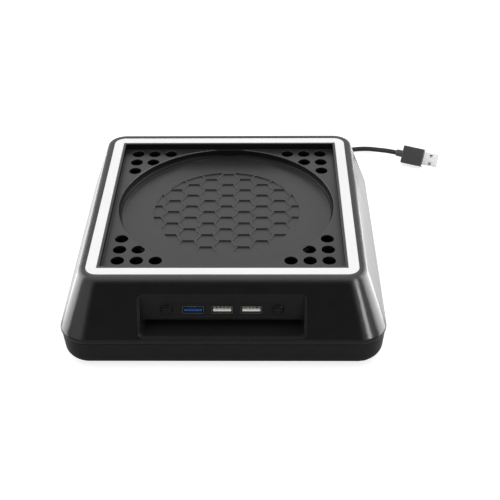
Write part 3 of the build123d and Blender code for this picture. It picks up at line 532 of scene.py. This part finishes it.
# Darker copy of the contact gold: painted shade for the plug's contacts deep in its shell
shaded_contact_gold = plated_metal(
    "shaded_contact_gold", ((0.12, 0.09, 0.06), (0.16, 0.12, 0.08)), (0.4, 0.5))
bearing_bronze = plated_metal(
    "bearing_bronze", ((0.5, 0.32, 0.14), (0.62, 0.42, 0.2)), (0.35, 0.5))
foot_rubber = soft_rubber("foot_rubber", greys(0.012, 0.02))
cord_black = soft_rubber("cord_black", greys(0.014, 0.019, 0.0005), specular=0.2)
frame_white = light_guide("frame_white")
board_green = circuit_board("board_green")
coil_copper = layered_metal(
    "coil_copper", ((0.34, 0.12, 0.04), (0.75, 0.36, 0.17)), scale=900.0, distortion=0.4,
    direction="X", relief=(0.5, 0.08 * MM), metallic=0.9, roughness=0.3)
core_steel = layered_metal(
    "core_steel", ((0.2, 0.2, 0.21), (0.42, 0.42, 0.44)), scale=1400.0, distortion=0.0,
    direction="Z", relief=(0.4, 0.05 * MM), metallic=1.0, roughness=0.42)

finishes = {
    housing_black: ("upper_housing",),
    base_black: ("base_shell",),
    tray_black: ("tray",),
    panel_black: ("port_panel",),
    button_black: ("power_button", "light_button"),
    switch_black: ("power_switch", "light_switch", "board_parts"),
    fan_black: ("fan_frame", "fan_rotor"),
    socket_white: ("plug_tongue",),
    lamp_yellow: ("leds",),
    plug_grey: ("plug_body",),
    magnet_grey: ("fan_magnet",),
    plated_steel: ("plug_shell",),
    socket_steel: ("usb_shell_left", "usb_shell_middle", "usb_shell_right"),
    screw_steel: ("tray_screws", "board_screws", "fan_shaft"),
    bearing_bronze: ("fan_bearing",),
    foot_rubber: ("front_left_foot", "front_right_foot", "rear_left_foot", "rear_right_foot"),
    cord_black: ("strain_relief", "fan_lead", "led_lead", "power_lead"),
    frame_white: ("light_frame",),
    board_green: ("led_board", "hub_board", "motor_board"),
    coil_copper: ("fan_coils",),
    core_steel: ("fan_stator",),
}


def dress_nodes():
    """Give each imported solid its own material."""
    for finish, names in finishes.items():
        for name in names:
            for slot in nodes[name].material_slots:
                slot.material = finish


def link(name, data):
    """New object in the scene."""
    made = bpy.data.objects.new(name, data)
    bpy.context.scene.collection.objects.link(made)
    return made


def show(name, data, finish):
    """New piece that rides on the stand, with its finish."""
    piece = link(name, data)
    data.materials.append(finish)
    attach(piece, "stand")
    return piece


def mesh_of(bm, name, turn_out=True):
    """Mesh from a bmesh, with the faces of its closed forms turned outwards."""
    if turn_out:
        bmesh.ops.recalc_face_normals(bm, faces=bm.faces)
    mesh = bpy.data.meshes.new(name)
    bm.to_mesh(mesh)
    bm.free()
    return mesh


def usb_lead():
    """The lead's jacket as one smooth curve along the route's points."""
    curve = bpy.data.curves.new("usb_lead", "CURVE")
    curve.dimensions = "3D"
    curve.bevel_depth = lead_diameter / 2
    curve.bevel_resolution = lead_sides
    curve.resolution_u = lead_steps
    curve.use_fill_caps = True
    spline = curve.splines.new("NURBS")
    spline.points.add(len(lead_points) - 1)
    for control, point in zip(spline.points, lead_points):
        control.co = (*(Vector(point) * MM), 1.0)
    spline.order_u = 3
    spline.use_endpoint_u = True
    lead = show("usb_lead", curve, cord_black)
    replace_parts(lead, "usb_cable")


def join_rings(bm, first, second):
    """Band of faces between two rings with as many points."""
    for index in range(len(first)):
        after = (index + 1) % len(first)
        bm.faces.new((first[index], first[after], second[after], second[index]))


def closed_form(bm, rings):
    """Closed form through rings of points, with a face at each end."""
    for first, second in zip(rings, rings[1:]):
        join_rings(bm, first, second)
    bm.faces.new(reversed(rings[0]))
    bm.faces.new(rings[-1])


def prism(bm, place, outline, front, back):
    """Closed bar along +Y from an outline of (x, z) points, with a chamfered front edge."""
    middle = [(min(axis) + max(axis)) / 2 for axis in zip(*outline)]
    half = [(max(axis) - min(axis)) / 2 for axis in zip(*outline)]
    shrink = [1 - tongue_round / size for size in half]
    small = [[middle[i] + (point[i] - middle[i]) * shrink[i] for i in (0, 1)]
             for point in outline]
    rings = []
    for shape, reach in ((small, front), (outline, front + tongue_round), (outline, back)):
        rings.append([bm.verts.new(place + Vector((x, reach, z)) * MM) for x, z in shape])
    closed_form(bm, rings)


def spring_contacts(name, place):
    """Four bent strips of sheet metal side by side on a tongue."""
    bm = bmesh.new()
    corners = ((-1, 0), (1, 0), (1, contact_sheet), (-1, contact_sheet))
    for row in contact_rows:
        rings = []
        for reach, rise in contact_profile:
            points = [Vector((row + side * contact_width / 2, reach, rise + lift))
                      for side, lift in corners]
            rings.append([bm.verts.new(place + point * MM) for point in points])
        closed_form(bm, rings)
    show(name, mesh_of(bm, name), contact_gold)


def socket_tongue(side, finish):
    """Grooved tongue of a USB socket on its back block, with the four contacts."""
    low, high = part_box(f"usb_shell_{side}")
    place = Vector(((low[0] + high[0]) / 2, low[1], low[2]))
    width, depth, height = [(high[axis] - low[axis]) / MM for axis in (0, 1, 2)]
    comb = [(-tongue_width / 2, tongue_low), (tongue_width / 2, tongue_low),
            (tongue_width / 2, tongue_high)]
    groove_floor = tongue_high - groove_depth
    for row in reversed(contact_rows):
        right, left = row + groove_width / 2, row - groove_width / 2
        comb += [(right, tongue_high), (right, groove_floor),
                 (left, groove_floor), (left, tongue_high)]
    comb.append((-tongue_width / 2, tongue_high))
    room, top = width / 2 - socket_sheet, height - socket_sheet
    block = [(-room, socket_sheet), (room, socket_sheet), (room, top), (-room, top)]
    bm = bmesh.new()
    prism(bm, place, comb, tongue_setback, depth - socket_back + 2 * tongue_round)
    prism(bm, place, block, depth - socket_back, depth)
    name = f"socket_tongue_{side}"
    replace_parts(show(name, mesh_of(bm, name), finish), f"usb_tongue_{side}")
    spring_contacts(f"socket_contacts_{side}",
                    place + Vector((0, tongue_setback, groove_floor)) * MM)


def plug_contacts():
    """Four flat contacts on the tongue inside the plug's shell, in a darker copy of the gold as
    painted shade.
    """
    along = Vector((cos(plug_heading), sin(plug_heading), 0))
    facing = Vector((sin(plug_heading) * cos(plug_lean), -cos(plug_heading) * cos(plug_lean),
                     sin(plug_lean)))
    across = along.cross(facing)
    level = facing * (plug_tongue - plug_room / 2) * MM
    outline = ((plug_contact_start, -0.5), (plug_contact_end, -0.5),
               (plug_contact_end, 0.5), (plug_contact_start, 0.5))
    bm = bmesh.new()
    for row in contact_rows:
        corners = [plug_nose + level + (along * reach + across * (row + side * contact_width)) * MM
                   for reach, side in outline]
        lower = [bm.verts.new(corner) for corner in corners]
        upper = [bm.verts.new(corner + facing * plug_contact_sheet * MM) for corner in corners]
        bm.faces.new(upper)
        join_rings(bm, lower, upper)
    # The plug's contacts take the darker copy of the gold, as painted shade
    show("plug_contacts", mesh_of(bm, "plug_contacts"), shaded_contact_gold)


def ring_of(bm, place, radius, height):
    """Level ring of points round a place."""
    turns = [2 * pi * step / screw_sides for step in range(screw_sides)]
    return [bm.verts.new(place + Vector((cos(turn) * radius, sin(turn) * radius, height)) * MM)
            for turn in turns]


def add_screw(bm, place, head, shank, pitch, length):
    """Screw with its cross recess below and its thread above, from its lowest face up."""
    levels = [(head - inset, height) for inset, height in head_edge]
    levels += [(head, screw_seat), (shank, screw_seat)]
    height = screw_seat + thread_start
    while height + pitch < length - pitch:
        levels += [(shank, height), (shank * thread_root, height + root_start * pitch),
                   (shank * thread_root, height + root_end * pitch)]
        height += pitch
    levels += [(shank, height), (shank * thread_tip, length)]
    rings = [ring_of(bm, place, radius, level) for radius, level in levels]
    for first, second in zip(rings, rings[1:]):
        join_rings(bm, first, second)
    bm.faces.new(rings[-1])
    arm, half = recess_arm * head, recess_width * head
    outline = [(arm, half), (half, half), (half, arm), (-half, arm), (-half, half), (-arm, half),
               (-arm, -half), (-half, -half), (-half, -arm), (half, -arm), (half, -half),
               (arm, -half)]
    rim = [bm.verts.new(place + Vector((x, y, 0.0)) * MM) for x, y in outline]
    depth = screw_seat * recess_depth
    deep = [bm.verts.new(place + Vector((x * recess_foot, y * recess_foot, depth)) * MM)
            for x, y in outline]
    join_rings(bm, rim, deep)
    bm.faces.new(deep)
    edges = [bm.edges.get((loop[index], loop[(index + 1) % len(loop)]))
             for loop in (rings[0], rim) for index in range(len(loop))]
    bmesh.ops.triangle_fill(bm, edges=edges, use_beauty=True)


def bottom_screws(node, screw):
    """Detailed screws in place of a node's plain ones, which stand in a rectangle's corners."""
    head = screw[0]
    low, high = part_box(node)
    bm = bmesh.new()
    for x in (low[0] + head * MM, high[0] - head * MM):
        for y in (low[1] + head * MM, high[1] - head * MM):
            add_screw(bm, Vector((x, y, low[2])), *screw, (high[2] - low[2]) / MM)
    name = f"{node}_threaded"
    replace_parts(show(name, mesh_of(bm, name), screw_steel), node)


def dish_place(middle, radius, turn):
    """Point just in front of a button's hollow face."""
    chord = button_radius - button_rim
    ball = (chord**2 + button_dish**2) / (2 * button_dish)
    sink = (ball**2 - radius**2) ** 0.5 - (ball - button_dish)
    return middle + Vector((cos(turn) * radius, sink - mark_rise, sin(turn) * radius)) * MM


def mark_band(bm, rows):
    """Faces between the pairs of points along a line of a mark."""
    rows = [[bm.verts.new(point) for point in row] for row in rows]
    for first, second in zip(rows, rows[1:]):
        bm.faces.new((first[0], first[1], second[1], second[0]))


def mark_arc(bm, middle, radius, start, end):
    """Curved line of a mark, between two angles in degrees."""
    steps = max(2, int((end - start) / mark_step))
    rows = []
    for step in range(steps + 1):
        turn = radians(start + (end - start) * step / steps)
        rows.append([dish_place(middle, radius + side * mark_line / 2, turn) for side in (-1, 1)])
    mark_band(bm, rows)


def mark_ray(bm, middle, turn, start, end):
    """Straight line of a mark, along a radius."""
    rows = []
    for step in range(ray_parts + 1):
        radius = start + (end - start) * step / ray_parts
        shift = mark_line / 2 / max(radius, mark_line)
        rows.append([dish_place(middle, radius, radians(turn) + side * shift)
                     for side in (-1, 1)])
    mark_band(bm, rows)


def button_mark(button):
    """Plain mark on a button: an open ring with a bar, or a ring with short rays."""
    low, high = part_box(button)
    middle = Vector(((low[0] + high[0]) / 2, low[1], (low[2] + high[2]) / 2))
    bm = bmesh.new()
    if button == "power_button":
        mark_arc(bm, middle, mark_radius, *power_arc)
        mark_ray(bm, middle, 90, *power_bar)
    else:
        mark_arc(bm, middle, light_ring, 0, 360)
        for turn in range(0, 360, ray_step):
            mark_ray(bm, middle, turn, *light_rays)
    mesh = mesh_of(bm, f"{button}_mark", turn_out=False)
    mesh.materials.append(mark_grey)
    mark = link(f"{button}_mark", mesh)
    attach(mark, button)


def place_camera():
    """Camera where the photograph was taken from."""
    ahead = Vector((sin(camera_yaw) * cos(camera_tilt), cos(camera_yaw) * cos(camera_tilt),
                    -sin(camera_tilt)))
    side = Vector((cos(camera_yaw), -sin(camera_yaw), 0))
    above = side.cross(ahead)
    turned_side = side * cos(camera_roll) + above * sin(camera_roll)
    turned_above = above * cos(camera_roll) - side * sin(camera_roll)
    data = bpy.data.cameras.new("camera")
    data.lens = camera_lens
    data.sensor_width = camera_sensor
    data.clip_start = camera_near
    camera = link("camera", data)
    turn = Matrix((turned_side, turned_above, -ahead)).transposed().to_4x4()
    camera.matrix_world = Matrix.Translation(camera_place) @ turn
    bpy.context.scene.camera = camera


def build_floor():
    """Pale floor that keeps the stand's shadow, clear from below, its front below the camera."""
    bm = bmesh.new()
    bmesh.ops.create_grid(bm, x_segments=floor_cells, y_segments=floor_cells, size=0.5)
    for point in bm.verts:
        point.co.x *= floor_width
        point.co.y = floor_front + (floor_back - floor_front) * (point.co.y + 0.5)
    mesh = mesh_of(bm, "floor", turn_out=False)
    floor = link("floor", mesh)
    made, tree, shader = material("floor_white")
    shader.inputs["Roughness"].default_value = floor_roughness
    shader.inputs["Specular IOR Level"].default_value = 0.0
    shader.inputs["Emission Color"].default_value = (*white, 1)
    path = tree.nodes.new("ShaderNodeLightPath").outputs
    seen = calculated(tree, "MAXIMUM", path["Is Camera Ray"], path["Is Glossy Ray"])
    seen = calculated(tree, "MAXIMUM", seen, path["Is Transmission Ray"])
    depth = axes_of(tree, coordinates(tree))["Y"]
    glow = mapped(tree, depth, (mirror_from, mirror_to), (0.0, floor_glow), smooth=True)
    shade = mapped(tree, glow, (0.0, floor_glow), (floor_albedo * floor_shade, floor_albedo))
    tint = mixed(tree, path["Is Glossy Ray"], floor_albedo, shade)
    tree.links.new(tint, shader.inputs["Base Color"])
    strength = mixed(tree, path["Is Camera Ray"], product(tree, seen, glow), floor_glow)
    tree.links.new(strength, shader.inputs["Emission Strength"])
    either = tree.nodes.new("ShaderNodeMixShader")
    facing = tree.nodes.new("ShaderNodeNewGeometry")
    clear = tree.nodes.new("ShaderNodeBsdfTransparent")
    tree.links.new(facing.outputs["Backfacing"], either.inputs["Fac"])
    tree.links.new(shader.outputs["BSDF"], either.inputs[1])
    tree.links.new(clear.outputs["BSDF"], either.inputs[2])
    output = next(node for node in tree.nodes if node.type == "OUTPUT_MATERIAL")
    tree.links.new(either.outputs["Shader"], output.inputs["Surface"])
    mesh.materials.append(made)


def build_world():
    """White surroundings, with a dim side towards the camera for what mirrors them."""
    world = bpy.data.worlds.new("studio")
    bpy.context.scene.world = world
    world.use_nodes = True
    tree = world.node_tree
    background = tree.nodes["Background"]
    background.inputs["Color"].default_value = (*white, 1)
    path = tree.nodes.new("ShaderNodeLightPath").outputs
    depth = axes_of(tree, coordinates(tree, "Generated"))["Y"]
    front = mapped(tree, depth, (dark_from, dark_to), (dark_front, 1.0), smooth=True)
    diffuse = mixed(tree, path["Is Diffuse Ray"], front, sky_fill)
    strength = mixed(tree, path["Is Camera Ray"], diffuse, 1.0)
    tree.links.new(strength, background.inputs["Strength"])


def area_lamp(name, place, target, size, watts):
    """Soft rectangular lamp aimed at a point."""
    data = bpy.data.lights.new(name, "AREA")
    data.shape = "RECTANGLE"
    data.size, data.size_y = size
    data.energy = watts
    lamp = link(name, data)
    lamp.location = place
    aim = Vector(target) - Vector(place)
    lamp.rotation_euler = aim.to_track_quat("-Z", "Y").to_euler()
    lamp.visible_camera = False
    return lamp


def mirrored_lamp(*settings):
    """Lamp that only shows as a reflection."""
    area_lamp(*settings).visible_diffuse = False


def place_lamps():
    """The lamp above, and the panels that the plastic mirrors."""
    area_lamp("top_lamp", top_lamp_place, top_lamp_target, (top_lamp_size, top_lamp_size),
              top_lamp_watts)
    for name, (side, start, watts, low_watts) in side_panels.items():
        middle = (start + panel_end) / 2
        mirrored_lamp(f"{name}_panel", (side * panel_reach, middle, panel_level),
                      (0.0, middle, panel_level), (panel_end - start, panel_height), watts)
        place, target = [(side * x, y, z) for x, y, z in (low_panel_place, low_panel_target)]
        mirrored_lamp(f"{name}_low_panel", place, target, low_panel_size, low_watts)
    mirrored_lamp("right_strip", strip_place, strip_target, strip_size, strip_watts)


dress_nodes()
usb_lead()
socket_tongue("left", socket_blue)
socket_tongue("middle", socket_white)
socket_tongue("right", socket_white)
plug_contacts()
bottom_screws("housing_screws", housing_screw)
bottom_screws("fan_screws", fan_screw)
button_mark("power_button")
button_mark("light_button")
place_camera()
build_floor()
build_world()
place_lamps()
bpy.context.scene.view_settings.view_transform = "Standard"
